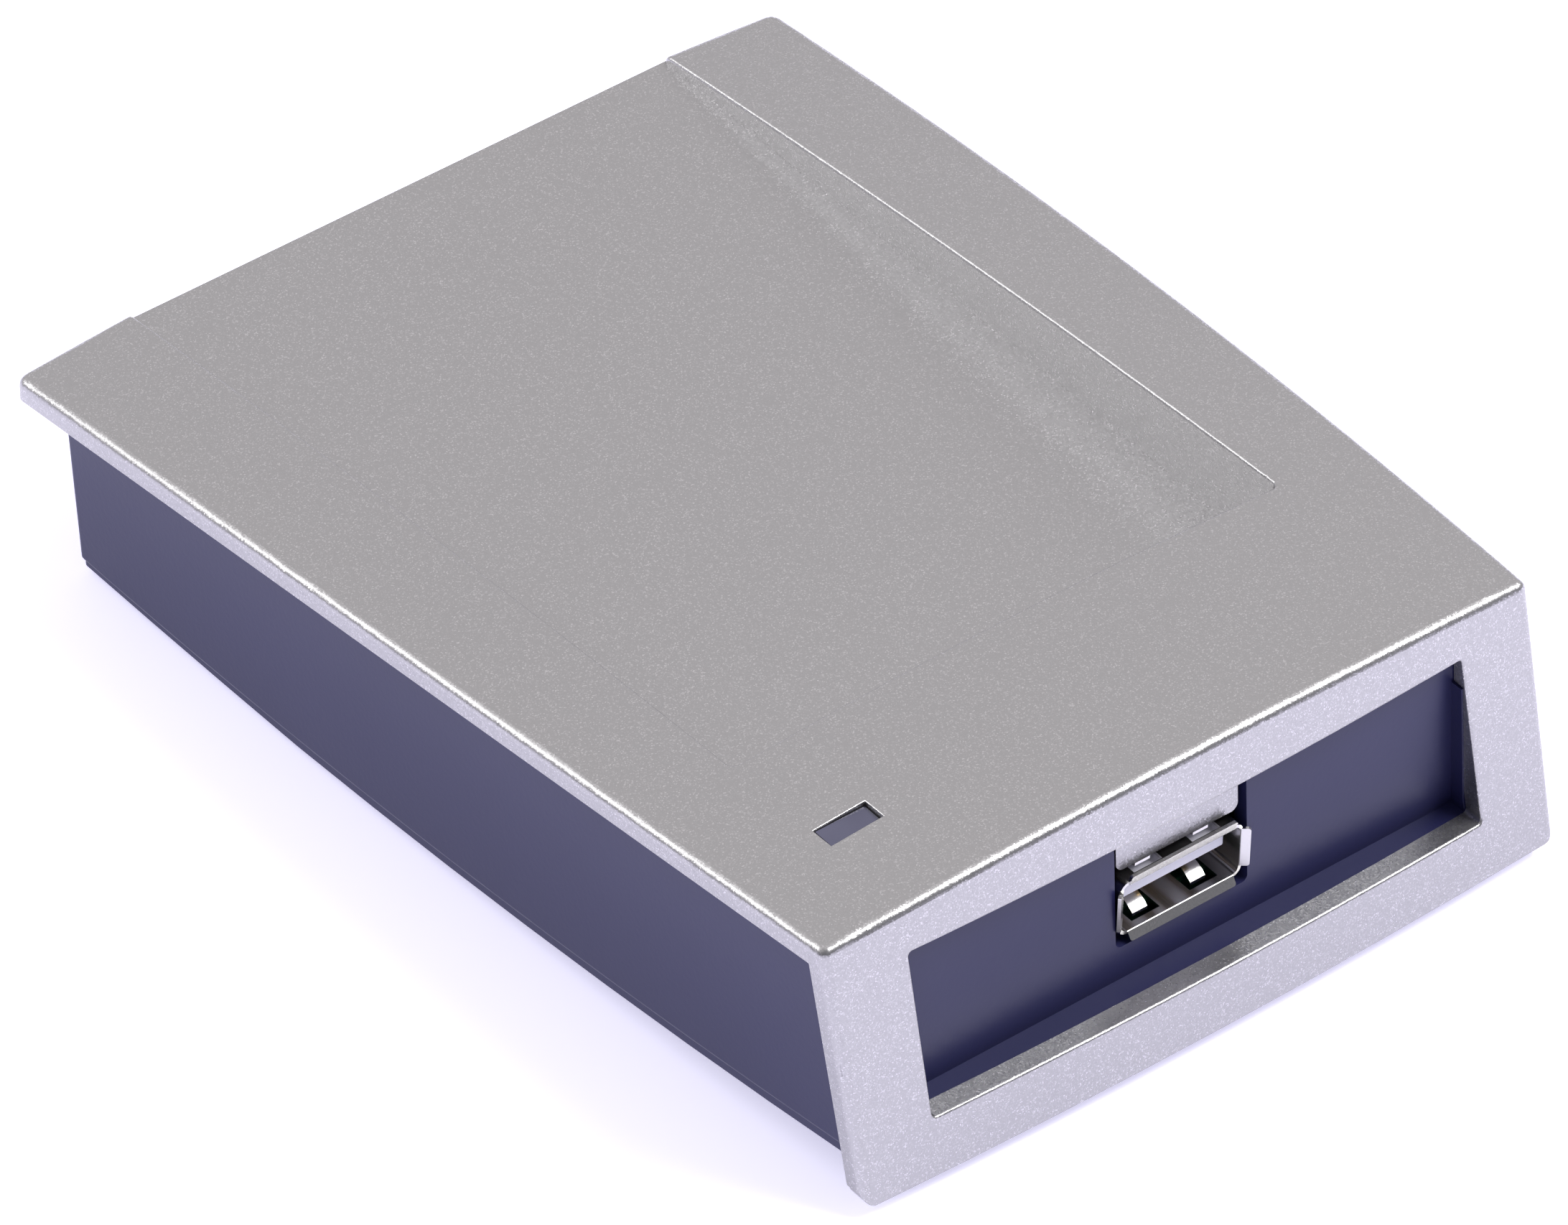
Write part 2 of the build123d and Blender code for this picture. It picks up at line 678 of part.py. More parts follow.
def electrolytic_capacitor():
    """Upright round capacitor with a rolled groove."""
    can = post(*electrolytic_place, board_top_z, board_top_z + electrolytic_height, electrolytic_radius)
    can = round_top(can, part_edge_radius)
    groove = post(*electrolytic_place, board_top_z + 1.2, board_top_z + 1.7, electrolytic_radius + 1)
    return can - (groove - post(*electrolytic_place, 0, tall, electrolytic_radius - 0.25))


def tuning_capacitor():
    """Film capacitor that tunes the aerial coil."""
    return round_top(on_board(film_place, film_size), part_edge_radius)


def supply_inductor():
    """Square power inductor with a round core."""
    core_z = board_top_z + inductor_size[2] + 0.4
    core = post(*inductor_place, board_top_z, core_z, inductor_core_radius)
    return on_board(inductor_place, inductor_size) + core


def resettable_fuse():
    """Flat fuse behind the socket."""
    return on_board(fuse_place, fuse_size)


def chip_row(places, size):
    """Small two-ended parts soldered flat on the board."""
    return Compound(children=[on_board(place, size) for place in places])


def ring(width, length, band, corner, low_z, height):
    """Flat rounded ring of the aerial coil."""
    outer = RectangleRounded(width, length, corner)
    inner = RectangleRounded(width - 2 * band, length - 2 * band, corner - band)
    return Pos(0, coil_middle_y, low_z) * extrude(outer - inner, height)


def case_screws():
    """The four screws that hold the casing to the cover, driven from below."""
    screws = []
    for x, y in case_screw_points:
        head = post(x, y, case_seat_z - 1.6, case_seat_z, case_head_radius)
        head = fillet(head.edges().group_by(Axis.Z)[0], 0.5)
        screw = head + post(x, y, case_seat_z - 0.1, case_screw_tip_z, case_screw_radius - 0.05)
        screws.append(screw - cross_slot(x, y, case_seat_z - 2.4, case_seat_z - 0.8, 2.6, 0.6))
    return Compound(children=screws)


def board_screws():
    """The four screws that hold the board on its standoffs."""
    screws = []
    for x, y in board_screw_points:
        head = round_top(post(x, y, board_top_z, board_top_z + 1.3, board_head_radius), part_edge_radius)
        screw = head + post(x, y, board_top_z - 5.5, board_top_z + 0.1, board_screw_radius - 0.05)
        screws.append(screw - cross_slot(x, y, board_top_z + 0.6, board_top_z + 2, 2.0, 0.5))
    return Compound(children=screws)


def cross_slot(x, y, low_z, high_z, length, width):
    """The cross in a screw's head."""
    one = block((x - length / 2, y - width / 2, low_z), (x + length / 2, y + width / 2, high_z))
    other = block((x - width / 2, y - length / 2, low_z), (x + width / 2, y + length / 2, high_z))
    return one + other


def rubber_feet():
    """Four round feet, set into the base."""
    feet = []
    for x, y in foot_points:
        foot = post(x, y, 0, foot_height, foot_radius)
        feet.append(fillet(foot.edges().group_by(Axis.Z)[0], 0.4))
    return Compound(children=feet)


def rating_label():
    """Blank label in the base's shallow recess."""
    outline = RectangleRounded(label_width, label_length, 1.5)
    return Pos(0, 0, casing_base_z + 0.1) * extrude(outline, 0.15)


def coil_leads():
    """The coil's two ends, down to the board."""
    leads = [post(x, coil_lead_y, board_low_z - 0.8, coil_low_z, 0.3) for x in coil_lead_places]
    return Compound(children=leads)


def coil_pads():
    """Four double-sided pads between the coil and the tray's underside."""
    pads = []
    for across, along in ((0, 1), (0, -1), (1, 0), (-1, 0)):
        x = across * (coil_width - coil_band) / 2
        y = coil_middle_y + along * (coil_length - coil_band) / 2
        size = Box(2.6 if across else 14, 2.6 if along else 14, pad_thickness)
        pads.append(Pos(x, y, coil_top_z + pad_thickness / 2) * size)
    return Compound(children=pads)


parts = {
    "top_cover": top_cover,
    "bottom_casing": bottom_casing,
    "led_lens": led_lens,
    "status_led": status_led,
    "circuit_board": circuit_board,
    "usb_shell": usb_shell,
    "usb_insulator": usb_insulator,
    "usb_contacts": usb_contacts,
    "microcontroller": lambda: chip(microcontroller_place, microcontroller_size, 8, 4),
    "reader_chip": lambda: chip(reader_chip_place, reader_chip_size, 5, 2),
    "crystal": crystal,
    "voltage_regulator": voltage_regulator,
    "buzzer": buzzer,
    "electrolytic_capacitor": electrolytic_capacitor,
    "tuning_capacitor": tuning_capacitor,
    "supply_inductor": supply_inductor,
    "resettable_fuse": resettable_fuse,
    "chip_capacitors": lambda: chip_row(capacitor_places, capacitor_chip_size),
    "chip_resistors": lambda: chip_row(resistor_places, resistor_chip_size),
    "aerial_coil": lambda: ring(coil_width, coil_length, coil_band, 9, coil_low_z, coil_height),
    "coil_leads": coil_leads,
    "coil_pads": coil_pads,
    "case_screws": case_screws,
    "board_screws": board_screws,
    "rubber_feet": rubber_feet,
    "rating_label": rating_label,
}

os.makedirs("parts", exist_ok=True)
for name, make in parts.items():
    export_step(make(), f"parts/{name}.step")
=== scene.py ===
# %% [markdown]
# # A desktop card reader
# The reader is a low wedge that lies on a desk. A silver-painted cover holds the card tray,
# and a slate-blue casing below it holds the circuit board and the USB socket.
#
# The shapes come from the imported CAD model, so they are not modelled again here. This lesson
# gives every piece its finish, winds the aerial coil as real turns of wire, and then sets up
# the floor, the light and the camera. The first cell loads the pieces: `frame` holds them by
# name, and each one stands where it belongs.

# %% Load the reader
import json
import math

import bmesh
import bpy
from mathutils import Matrix, Vector


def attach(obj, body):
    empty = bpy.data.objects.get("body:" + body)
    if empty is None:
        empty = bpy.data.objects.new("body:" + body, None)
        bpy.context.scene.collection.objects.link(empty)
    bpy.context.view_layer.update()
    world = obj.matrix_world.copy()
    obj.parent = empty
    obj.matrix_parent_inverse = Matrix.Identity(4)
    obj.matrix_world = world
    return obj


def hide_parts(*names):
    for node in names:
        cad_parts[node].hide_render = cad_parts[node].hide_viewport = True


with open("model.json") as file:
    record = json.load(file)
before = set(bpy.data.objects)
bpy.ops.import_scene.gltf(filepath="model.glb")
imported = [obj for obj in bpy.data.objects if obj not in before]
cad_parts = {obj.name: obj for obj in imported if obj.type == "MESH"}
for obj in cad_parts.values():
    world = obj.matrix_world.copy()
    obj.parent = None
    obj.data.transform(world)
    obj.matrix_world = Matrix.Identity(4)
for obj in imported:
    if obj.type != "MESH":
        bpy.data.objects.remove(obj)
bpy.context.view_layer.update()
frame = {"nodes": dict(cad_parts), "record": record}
scene = bpy.context.scene
MM = 0.001
print("pieces:", len(frame["nodes"]))

# %% [markdown]
# ## Helpers for materials
# Every finish below is one Principled shader with a few textures in front of it. Making nodes
# and links by hand takes many lines, so short helpers do it. One makes a material, and one adds
# a node. Two turn a mask into a colour or a number, and the last turns a height into relief.
#
# All patterns read Object coordinates. Each piece has its origin at the reader's origin, so one
# metre in a pattern is one metre on the reader, and a grain keeps its true size on every piece.
# Generated coordinates would stretch the same grain over large and small pieces alike.

# %% Material helpers
def finish_on(name, **values):
    """A new material, and its Principled shader with these socket values."""
    material = bpy.data.materials.new(name)
    material.use_nodes = True
    shader = material.node_tree.nodes["Principled BSDF"]
    for socket, value in values.items():
        shader.inputs[socket.replace("_", " ")].default_value = value
    return material, shader


def add(tree, kind, **values):
    """A node of this kind in the tree, with these input or property values."""
    node = tree.nodes.new(kind)
    for key, value in values.items():
        if hasattr(node, key):
            setattr(node, key, value)
        else:
            node.inputs[key.replace("_", " ")].default_value = value
    return node


def blend_colours(tree, mask, low, high):
    """A colour between low and high, chosen by the mask."""
    mix = add(tree, "ShaderNodeMix", data_type="RGBA")
    tree.links.new(mask, mix.inputs["Factor"])
    mix.inputs["A"].default_value = (*low, 1)
    mix.inputs["B"].default_value = (*high, 1)
    return mix.outputs["Result"]


def blend_values(tree, mask, low, high):
    """A number between low and high, chosen by the mask."""
    spread = add(tree, "ShaderNodeMapRange", clamp=True)
    spread.inputs["To Min"].default_value = low
    spread.inputs["To Max"].default_value = high
    tree.links.new(mask, spread.inputs["Value"])
    return spread.outputs["Result"]


def bump(tree, height, depth):
    """A normal from a height pattern; depth is the relief's real depth."""
    node = add(tree, "ShaderNodeBump", Distance=depth)
    tree.links.new(height, node.inputs["Height"])
    return node.outputs["Normal"]


print("material helpers ready")

# %% [markdown]
# ## Helpers for node groups
# An effect that several finishes share belongs in a node group: it is built once, and each
# material sets its own sizes on the group's sockets. A texture's Scale counts repeats in a
# metre, so `repeats` turns a real size into a scale by dividing one by it.

# %% Group helpers
def new_group(name, inputs, outputs):
    """An empty node group with these sockets, and its input and output nodes."""
    group = bpy.data.node_groups.new(name, "ShaderNodeTree")
    for title, value in inputs.items():
        socket = group.interface.new_socket(title, in_out="INPUT", socket_type="NodeSocketFloat")
        socket.default_value = value
    for title, kind in outputs.items():
        group.interface.new_socket(title, in_out="OUTPUT", socket_type=kind)
    return group, group.nodes.new("NodeGroupInput"), group.nodes.new("NodeGroupOutput")


def repeats(group, size):
    """How many repeats of a real size fit in a metre."""
    scale = add(group, "ShaderNodeMath", operation="DIVIDE")
    scale.inputs[0].default_value = 1.0
    group.links.new(size, scale.inputs[1])
    return scale.outputs[0]


def object_place(tree):
    """The Object coordinates of the surface."""
    return add(tree, "ShaderNodeTexCoord").outputs["Object"]


def noise(group, place, size, detail):
    """Soft noise whose blobs have a real size."""
    texture = add(group, "ShaderNodeTexNoise", Detail=detail)
    group.links.new(place, texture.inputs["Vector"])
    group.links.new(repeats(group, size), texture.inputs["Scale"])
    return texture.outputs["Fac"]


def place_group(tree, group, **values):
    """One use of a node group in a material, with its own values."""
    node = tree.nodes.new("ShaderNodeGroup")
    node.node_tree = group
    for key, value in values.items():
        node.inputs[key.replace("_", " ")].default_value = value
    return node


print("group helpers ready")

# %% [markdown]
# ## Moulding grain
# Moulded plastic is never quite even. This group gives a fine noise for its relief and a slow
# one for its tone. The fine one breaks up the highlights, and the slow one stops a large face
# from looking like flat paint. An image texture could do the same, but it would need unwrapping
# and a size of its own; noise works on any shape.

# %% Moulding grain
def make_grain():
    """Fine height and slow tone for moulded surfaces."""
    inputs = {"Grain Size": 0.0004, "Tone Size": 0.02}
    outputs = {"Height": "NodeSocketFloat", "Tone": "NodeSocketFloat"}
    group, given, result = new_group("moulding_grain", inputs, outputs)
    place = object_place(group)
    height = noise(group, place, given.outputs["Grain Size"], detail=3.0)
    group.links.new(height, result.inputs["Height"])
    tone = noise(group, place, given.outputs["Tone Size"], detail=2.0)
    group.links.new(tone, result.inputs["Tone"])
    return group


grain = make_grain()
print("group:", grain.name)

# %% [markdown]
# ## Paint flakes
# Metallic paint is a layer of tiny mirrors, each lying at its own small angle. A Voronoi texture
# cuts space into cells and gives every cell one random colour. Its red channel serves as the
# flake's brightness. The whole colour, centred on zero and scaled down, is added to the surface's
# normal and tilts the flake. The tilt matters most: where the surroundings change, neighbouring
# flakes mirror different things and sparkle, and where they are even, the paint looks smooth.

# %% Paint flakes
def make_flakes():
    """One random brightness and one small tilt for each flake."""
    inputs = {"Flake Size": 0.0001, "Tilt": 0.1}
    outputs = {"Brightness": "NodeSocketFloat", "Normal": "NodeSocketVector"}
    group, given, result = new_group("paint_flakes", inputs, outputs)
    cells = add(group, "ShaderNodeTexVoronoi")
    group.links.new(object_place(group), cells.inputs["Vector"])
    group.links.new(repeats(group, given.outputs["Flake Size"]), cells.inputs["Scale"])
    channels = add(group, "ShaderNodeSeparateColor")
    group.links.new(cells.outputs["Color"], channels.inputs["Color"])
    group.links.new(channels.outputs["Red"], result.inputs["Brightness"])
    centred = add(group, "ShaderNodeVectorMath", operation="SUBTRACT")
    centred.inputs[1].default_value = (0.5, 0.5, 0.5)
    group.links.new(cells.outputs["Color"], centred.inputs[0])
    tilted = add(group, "ShaderNodeVectorMath", operation="SCALE")
    group.links.new(centred.outputs["Vector"], tilted.inputs[0])
    group.links.new(given.outputs["Tilt"], tilted.inputs["Scale"])
    surface = add(group, "ShaderNodeNewGeometry")
    total = add(group, "ShaderNodeVectorMath", operation="ADD")
    group.links.new(surface.outputs["Normal"], total.inputs[0])
    group.links.new(tilted.outputs["Vector"], total.inputs[1])
    unit = add(group, "ShaderNodeVectorMath", operation="NORMALIZE")
    group.links.new(total.outputs["Vector"], unit.inputs[0])
    group.links.new(unit.outputs["Vector"], result.inputs["Normal"])
    return group


flakes = make_flakes()
print("group:", flakes.name)

# %% [markdown]
# ## Rolled metal
# Rolled and plated sheet carries faint lines along one direction. Stretching the coordinates
# before a noise texture draws its blobs out into such lines: a small factor on Y makes each
# blob long in Y.

# %% Rolled metal
def make_rolling():
    """Faint lines along Y for sheet metal."""
    inputs = {"Line Size": 0.0002}
    outputs = {"Lines": "NodeSocketFloat"}
    squeeze_y = 0.06
    group, given, result = new_group("rolled_metal", inputs, outputs)
    stretch = add(group, "ShaderNodeVectorMath", operation="MULTIPLY")
    stretch.inputs[1].default_value = (1.0, squeeze_y, 1.0)
    group.links.new(object_place(group), stretch.inputs[0])
    lines = noise(group, stretch.outputs["Vector"], given.outputs["Line Size"], detail=4.0)
    group.links.new(lines, result.inputs["Lines"])
    return group


rolling = make_rolling()
print("group:", rolling.name)

# %% [markdown]
# ## Silver paint for the cover
# The cover's paint is mostly metallic, so it shows what lies around it: the top shows the
# room, and the front and the side lips show the pale floor. A little of the plastic's own
# diffuse light is left in by keeping Metallic below one. Raising the flake's brightness to a
# high power leaves only a few flakes bright, which reads as scattered glints.

# %% Silver paint
def silver_paint():
    """Satin silver paint with fine flake."""
    dull_silver, glint_silver = (0.40, 0.395, 0.40), (0.58, 0.57, 0.58)
    dull_rough, bright_rough = 0.35, 0.27
    glint_power = 8.0
    material, shader = finish_on("silver_paint", Metallic=0.9, IOR=1.45)
    tree = material.node_tree
    flake = place_group(tree, flakes, Flake_Size=0.00011, Tilt=0.15)
    glint = add(tree, "ShaderNodeMath", operation="POWER")
    glint.inputs[1].default_value = glint_power
    tree.links.new(flake.outputs["Brightness"], glint.inputs[0])
    colour = blend_colours(tree, glint.outputs[0], dull_silver, glint_silver)
    tree.links.new(colour, shader.inputs["Base Color"])
    rough = blend_values(tree, flake.outputs["Brightness"], dull_rough, bright_rough)
    tree.links.new(rough, shader.inputs["Roughness"])
    tree.links.new(flake.outputs["Normal"], shader.inputs["Normal"])
    return material


finishes = {"silver_paint": silver_paint()}
print("finishes:", len(finishes))

# %% [markdown]
# ## Slate plastic for the casing
# The casing is unpainted plastic with a satin skin. The same slow tone drives both its colour
# and its roughness, so that the slightly paler patches are also slightly smoother, as they are
# on a real moulding.

# %% Slate plastic
def slate_plastic():
    """Satin slate-blue moulding."""
    dark_slate, pale_slate = (0.016, 0.017, 0.066), (0.020, 0.021, 0.078)
    dark_rough, pale_rough = 0.38, 0.32
    skin_depth = 0.00001
    material, shader = finish_on("slate_plastic", IOR=1.42)
    tree = material.node_tree
    soft = place_group(tree, grain, Grain_Size=0.0005, Tone_Size=0.025)
    tone = soft.outputs["Tone"]
    colour = blend_colours(tree, tone, dark_slate, pale_slate)
    tree.links.new(colour, shader.inputs["Base Color"])
    rough = blend_values(tree, tone, dark_rough, pale_rough)
    tree.links.new(rough, shader.inputs["Roughness"])
    tree.links.new(bump(tree, soft.outputs["Height"], skin_depth), shader.inputs["Normal"])
    return material


finishes["slate_plastic"] = slate_plastic()
print("finishes:", len(finishes))

# %% [markdown]
# ## Sheet metal
# The socket's shell and contacts, the screws, and the cans of the crystal and the capacitor
# are all bare or plated metal. They share one function, and differ in colour and in how rough
# they are. The rolling lines change the roughness more than the colour, because a scratch
# scatters light rather than staining the metal.

# %% Sheet metal
def sheet_metal(name, dark, light, smooth, rough):
    """Plated metal with faint rolling lines."""
    scratch_depth = 0.000003
    material, shader = finish_on(name, Metallic=1.0)
    tree = material.node_tree
    lines = place_group(tree, rolling).outputs["Lines"]
    tree.links.new(blend_colours(tree, lines, dark, light), shader.inputs["Base Color"])
    tree.links.new(blend_values(tree, lines, smooth, rough), shader.inputs["Roughness"])
    tree.links.new(bump(tree, lines, scratch_depth), shader.inputs["Normal"])
    return material


# Each metal has a dark and a light colour, then its lowest and its highest roughness.
metals = {
    "nickel_steel": ((0.56, 0.55, 0.54), (0.66, 0.65, 0.64), 0.16, 0.28),
    "gold_contact": ((0.80, 0.55, 0.22), (0.88, 0.66, 0.30), 0.18, 0.30),
    "crystal_can": ((0.60, 0.60, 0.60), (0.72, 0.72, 0.72), 0.20, 0.34),
    "capacitor_sleeve": ((0.55, 0.56, 0.58), (0.66, 0.67, 0.70), 0.24, 0.36),
    "zinc_screw": ((0.50, 0.50, 0.53), (0.62, 0.62, 0.66), 0.24, 0.40),
}
for name, look in metals.items():
    finishes[name] = sheet_metal(name, *look)
print("metals:", len(metals))

# %% [markdown]
# ## Solder mask for the board
# The board is green because a thin lacquer covers its copper. Where a track runs below, the
# lacquer lies a little higher and looks paler. A Brick texture gives long straight runs with
# offset joints, which is close to how tracks are laid; its mortar lines serve as the tracks.

# %% Solder mask
def solder_mask():
    """Green lacquer over a pattern of copper tracks."""
    bare_green, track_green = (0.003, 0.022, 0.011), (0.009, 0.052, 0.026)
    dull_rough, clear_rough = 0.40, 0.28
    track_height = 0.00002
    material, shader = finish_on("board_green", Coat_Weight=0.4)
    tree = material.node_tree
    # The three sizes are fractions of one repeat of the pattern, which is 1/260 m, or 3.8 mm.
    tracks = add(
        tree, "ShaderNodeTexBrick", Scale=260.0, Mortar_Size=0.03, Brick_Width=0.9, Row_Height=0.3
    )
    tree.links.new(object_place(tree), tracks.inputs["Vector"])
    colour = blend_colours(tree, tracks.outputs["Fac"], bare_green, track_green)
    tree.links.new(colour, shader.inputs["Base Color"])
    soft = place_group(tree, grain, Tone_Size=0.006)
    rough = blend_values(tree, soft.outputs["Tone"], dull_rough, clear_rough)
    tree.links.new(rough, shader.inputs["Roughness"])
    tree.links.new(bump(tree, tracks.outputs["Fac"], track_height), shader.inputs["Normal"])
    return material


finishes["board_green"] = solder_mask()
print("board tracks ready")

# %% [markdown]
# ## Mouldings, rubber, film and ceramic
# The rest are small plain pieces, and one function serves them all. Each gets two close
# colours, two roughness values, and a relief whose size and depth suit the material: fine and
# shallow for a chip's moulding, coarse and deep for rubber and foam.

# %% Small mouldings
def moulding(name, dark, light, smooth, rough, grain_size, depth):
    """A moulded or cast finish with a slow tone and a fine relief."""
    material, shader = finish_on(name)
    tree = material.node_tree
    soft = place_group(tree, grain, Grain_Size=grain_size, Tone_Size=0.004)
    tone = soft.outputs["Tone"]
    tree.links.new(blend_colours(tree, tone, dark, light), shader.inputs["Base Color"])
    tree.links.new(blend_values(tree, tone, smooth, rough), shader.inputs["Roughness"])
    tree.links.new(bump(tree, soft.outputs["Height"], depth), shader.inputs["Normal"])
    return material


# Each moulding has a dark and a light colour, its lowest and its highest roughness, and its
# relief's grain size and depth in metres.
mouldings = {
    "lens_plastic": ((0.055, 0.055, 0.095), (0.085, 0.085, 0.135), 0.14, 0.20, 0.0010, 0.000003),
    "led_resin": ((0.70, 0.72, 0.68), (0.78, 0.80, 0.76), 0.20, 0.28, 0.0010, 0.000005),
    "white_moulding": ((0.66, 0.66, 0.72), (0.72, 0.72, 0.79), 0.35, 0.45, 0.0004, 0.00001),
    "chip_black": ((0.020, 0.020, 0.022), (0.032, 0.032, 0.035), 0.45, 0.60, 0.0002, 0.00001),
    "film_case": ((0.40, 0.08, 0.05), (0.52, 0.12, 0.08), 0.20, 0.30, 0.0008, 0.00001),
    "ferrite": ((0.050, 0.050, 0.055), (0.090, 0.090, 0.095), 0.50, 0.70, 0.0002, 0.00002),
    "fuse_green": ((0.06, 0.22, 0.14), (0.10, 0.30, 0.20), 0.30, 0.40, 0.0003, 0.00001),
    "ceramic_tan": ((0.45, 0.33, 0.20), (0.56, 0.42, 0.28), 0.35, 0.45, 0.0002, 0.00001),
    "resistor_black": ((0.020, 0.020, 0.025), (0.040, 0.040, 0.050), 0.30, 0.40, 0.0002, 0.00001),
    "foam_pad": ((0.70, 0.68, 0.60), (0.82, 0.80, 0.74), 0.85, 0.95, 0.0004, 0.00008),
    "foot_rubber": ((0.030, 0.030, 0.032), (0.050, 0.050, 0.052), 0.65, 0.80, 0.0006, 0.00004),
    "label_film": ((0.55, 0.55, 0.57), (0.62, 0.62, 0.64), 0.30, 0.38, 0.0003, 0.000005),
}
for name, look in mouldings.items():
    finishes[name] = moulding(name, *look)
print("mouldings:", len(mouldings))

# %% [markdown]
# ## Enamelled wire
# Enamel is a clear amber skin on copper. A metallic base with a coat over it gives the two
# layers at once: the copper's warm tint below and the enamel's sharper highlight above.

# %% Enamelled wire
def enamelled_wire():
    """Copper wire under clear enamel."""
    dark_copper, pale_copper = (0.50, 0.19, 0.08), (0.64, 0.28, 0.12)
    lowest_rough, highest_rough = 0.22, 0.34
    material, shader = finish_on("coil_enamel", Metallic=0.9, Coat_Weight=0.6)
    tree = material.node_tree
    soft = place_group(tree, grain, Grain_Size=0.0006, Tone_Size=0.008)
    tone = soft.outputs["Tone"]
    colour = blend_colours(tree, tone, dark_copper, pale_copper)
    tree.links.new(colour, shader.inputs["Base Color"])
    rough = blend_values(tree, tone, lowest_rough, highest_rough)
    tree.links.new(rough, shader.inputs["Roughness"])
    return material


finishes["coil_enamel"] = enamelled_wire()
print("finishes:", len(finishes))

# %% [markdown]
# ## Give every piece its finish
# The part's record names a material slot for each piece. The loop puts the finish of that name
# in the slot and changes nothing else, so the pieces keep their meshes and their places.

# %% Dress the pieces
for entry in frame["record"]["subparts"]:
    piece = frame["nodes"][entry["node"]]
    piece.data.materials.clear()
    piece.data.materials.append(finishes[entry["material_slot"]])

# %% [markdown]
# ## One turn of wire
# In the CAD model the aerial coil is one flat ring. Here it becomes a bundle of turns, stacked
# in a few layers. Each turn is a round wire bent along a rounded rectangle. A curve with a bevel
# would also draw it, but bmesh operators show how the shape comes about: a circle is the wire's
# cross-section, an extrusion carries it along each straight side, and a quarter spin carries it
# round each corner. The last ring lands on the first one, and merging doubles closes the turn.

# %% One turn
coil_width = 46 * MM
coil_length = 62 * MM
coil_corner = 9 * MM
coil_middle_y = 15 * MM
wire_radius = 0.19 * MM
wire_sides = 8
corner_steps = 7


def run_straight(mesh, ring, move):
    """Carry the wire's open end along a straight line."""
    made = bmesh.ops.extrude_edge_only(mesh, edges=ring)["geom"]
    ends = [part for part in made if isinstance(part, bmesh.types.BMVert)]
    bmesh.ops.translate(mesh, verts=ends, vec=move)
    edges = [part for part in made if isinstance(part, bmesh.types.BMEdge)]
    return [edge for edge in edges if set(edge.verts) <= set(ends)]


def run_corner(mesh, ring, centre):
    """Carry the wire's open end a quarter turn round a centre."""
    turned = bmesh.ops.spin(
        mesh, geom=ring, cent=centre, axis=(0, 0, 1), angle=math.pi / 2, steps=corner_steps
    )["geom_last"]
    return [part for part in turned if isinstance(part, bmesh.types.BMEdge)]


def lay_turn(mesh, inset, height):
    """Add one closed turn, drawn in by inset, at this height."""
    reach_x = coil_width / 2 - coil_corner
    reach_y = coil_length / 2 - coil_corner
    start = Vector((coil_width / 2 - inset, coil_middle_y, height))
    facing = Matrix.Translation(start) @ Matrix.Rotation(math.pi / 2, 4, "X")
    section = bmesh.ops.create_circle(
        mesh, segments=wire_sides, radius=wire_radius, matrix=facing
    )["verts"]
    ring = [edge for edge in mesh.edges if set(edge.verts) <= set(section)]
    half_side = (0, reach_y, 0)
    sides = (half_side, (-2 * reach_x, 0, 0), (0, -2 * reach_y, 0), (2 * reach_x, 0, 0))
    corners = ((1, 1), (-1, 1), (-1, -1), (1, -1))
    for side, (across, along) in zip(sides, corners):
        centre = (across * reach_x, coil_middle_y + along * reach_y, height)
        ring = run_corner(mesh, run_straight(mesh, ring, side), centre)
    run_straight(mesh, ring, half_side)


print("a turn has", 4 * (corner_steps + 1) + 1, "runs of wire")

# %% [markdown]
# ## Wind the aerial coil
# Thirty-two turns fill the same space as the CAD ring: eight side by side, in four layers.

# %% Aerial coil
coil_low_z = 13.55 * MM
wire_pitch = 0.4 * MM
turns_across = 8
layers = 4


def aerial_turns():
    """All turns of the coil as one piece."""
    mesh = bmesh.new()
    for layer in range(layers):
        for turn in range(turns_across):
            lay_turn(mesh, (turn + 0.5) * wire_pitch, coil_low_z + (layer + 0.5) * wire_pitch)
    bmesh.ops.remove_doubles(mesh, verts=mesh.verts, dist=wire_radius / 20)
    bmesh.ops.recalc_face_normals(mesh, faces=mesh.faces)
    for face in mesh.faces:
        face.smooth = True
    data = bpy.data.meshes.new("aerial_turns")
    mesh.to_mesh(data)
    mesh.free()
    piece = bpy.data.objects.new("aerial_turns", data)
    scene.collection.objects.link(piece)
    data.materials.append(finishes["coil_enamel"])
    return piece


turns = aerial_turns()
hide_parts("aerial_coil")
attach(turns, "root")
loose_edges = sum(1 for edge in turns.data.edges if edge.is_loose)
print("turns of wire:", turns_across * layers, "faces:", len(turns.data.polygons))
print("loose edges:", loose_edges)

# %% [markdown]
# ## The floor
# The reader stands on a wide pale table. Its own soft glow keeps it white right up to the
# reader, as in a light tent, and leaves only a faint shadow. The tint is a little lavender: the
# silver paint mirrors the floor, and the tint shows in the apron and the lips.

# %% Floor
def studio_floor():
    """A wide, softly glowing table."""
    table_size = 8
    dark_lavender, pale_lavender = (0.77, 0.76, 0.89), (0.79, 0.78, 0.91)
    glow_colour, glow_strength = (0.82, 0.80, 1.0, 1), 0.62
    bpy.ops.mesh.primitive_plane_add(size=table_size)
    table = bpy.context.object
    table.name = "studio_floor"
    material, shader = finish_on("studio_floor", Roughness=0.9, Emission_Strength=glow_strength)
    tree = material.node_tree
    soft = place_group(tree, grain, Grain_Size=0.002, Tone_Size=0.3)
    colour = blend_colours(tree, soft.outputs["Tone"], dark_lavender, pale_lavender)
    tree.links.new(colour, shader.inputs["Base Color"])
    shader.inputs["Emission Color"].default_value = glow_colour
    table.data.materials.append(material)


studio_floor()
print("floor laid")

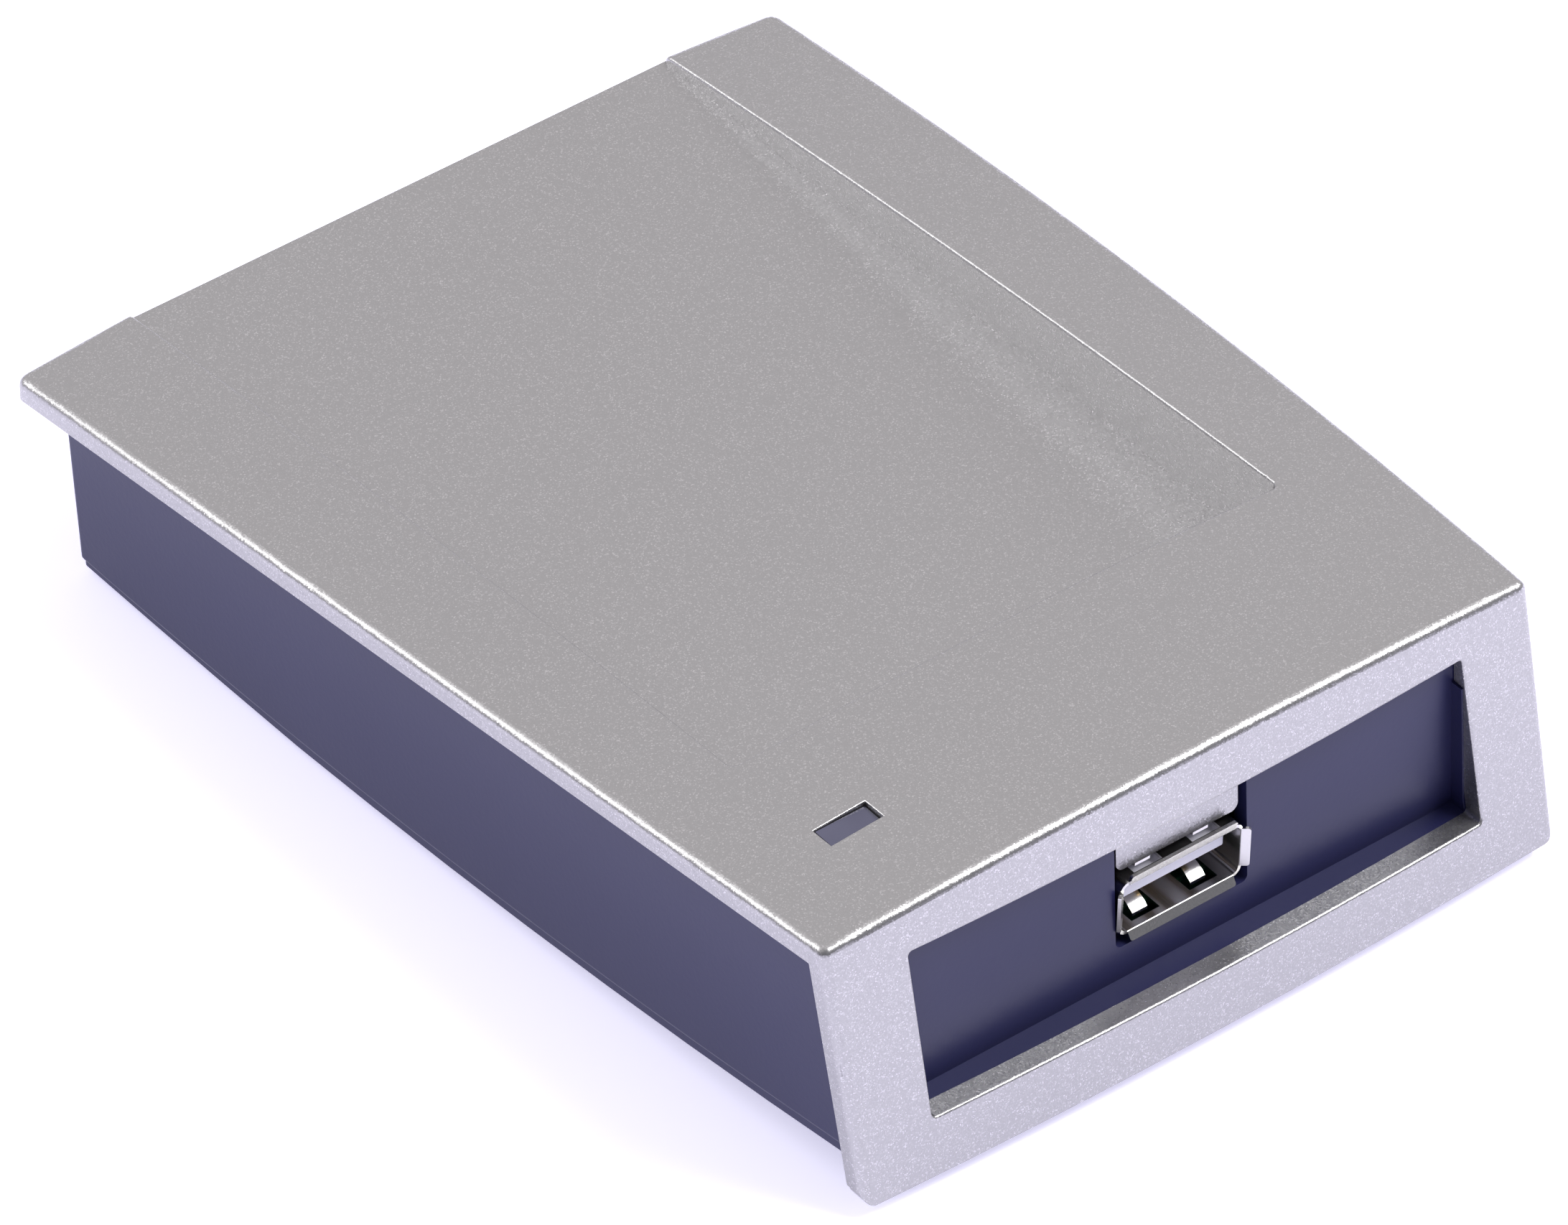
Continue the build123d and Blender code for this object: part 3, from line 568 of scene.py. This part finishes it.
# %% [markdown]
# ## The room
# Metallic paint needs something to mirror. The world is a plain room that grows brighter
# towards the back and overhead: the cover's top mirrors that part, so it sets the top's tone.
# The dot product with one direction tells how far a point of the room lies towards it.

# %% Room
def studio_room(dim, bright, towards):
    """A dim room that is brighter towards one side."""
    dim_below, bright_above = -0.1, 0.95
    world = bpy.data.worlds.new("studio")
    scene.world = world
    world.use_nodes = True
    tree = world.node_tree
    side = add(tree, "ShaderNodeVectorMath", operation="DOT_PRODUCT")
    side.inputs[1].default_value = Vector(towards).normalized()
    tree.links.new(add(tree, "ShaderNodeTexCoord").outputs["Generated"], side.inputs[0])
    spread = add(tree, "ShaderNodeMapRange", interpolation_type="SMOOTHSTEP")
    spread.inputs["From Min"].default_value = dim_below
    spread.inputs["From Max"].default_value = bright_above
    tree.links.new(side.outputs["Value"], spread.inputs["Value"])
    colour = blend_colours(tree, spread.outputs["Result"], dim, bright)
    tree.links.new(colour, tree.nodes["Background"].inputs["Color"])


studio_room(dim=(0.20, 0.20, 0.22), bright=(0.84, 0.815, 0.83), towards=(0.25, 0.60, 0.75))
print("room ready")

# %% [markdown]
# ## Two soft boxes
# The first box hangs in front, to the right and high up. The rounded front edge of the cover
# mirrors it as a white line. The second hangs behind and to the left. The tray's right wall
# mirrors it by way of the tray's floor, and so does the wall's upper edge. Large boxes are used
# because satin paint blurs what it mirrors, and a small lamp would fade away.

# %% Soft boxes
def soft_box(name, place, size, power):
    """A rectangular light that faces the reader."""
    data = bpy.data.lights.new(name, "AREA")
    data.shape = "RECTANGLE"
    data.size, data.size_y = size
    data.energy = power
    lamp = bpy.data.objects.new(name, data)
    scene.collection.objects.link(lamp)
    lamp.location = place
    lamp.rotation_euler = (-Vector(place)).to_track_quat("-Z", "Y").to_euler()


soft_box("front_box", place=(0.62, -0.42, 1.02), size=(0.7, 0.45), power=14.0)
soft_box("back_box", place=(-0.70, 0.78, 0.80), size=(0.9, 0.7), power=6.0)
scene.view_settings.view_transform = "Standard"
print("soft boxes: 2")

# %% [markdown]
# ## The camera
# The camera looks down on the front left corner from about a metre away, through a long lens,
# which keeps parallel edges nearly parallel. Its place is given by two angles and a distance
# from a target near the reader's middle, because these are easier to judge than coordinates.

# %% Camera
azimuth = math.radians(-39.47)
elevation = math.radians(41.43)
roll = math.radians(1.55)
distance = 1.1055
lens_length = 300.1
sensor_width = 36.0
target = Vector((-2.2, -0.3, 9.0)) * MM

flat = math.cos(elevation)
towards_camera = Vector(
    (math.sin(azimuth) * flat, -math.cos(azimuth) * flat, math.sin(elevation))
)
camera_data = bpy.data.cameras.new("camera")
camera_data.sensor_width = sensor_width
camera_data.lens = lens_length
camera = bpy.data.objects.new("camera", camera_data)
scene.collection.objects.link(camera)
camera.location = target + towards_camera * distance
looking = (-towards_camera).to_track_quat("-Z", "Y").to_matrix()
camera.rotation_euler = (looking @ Matrix.Rotation(roll, 3, "Z")).to_euler()
scene.camera = camera
print("camera at", [round(value, 3) for value in camera.location])
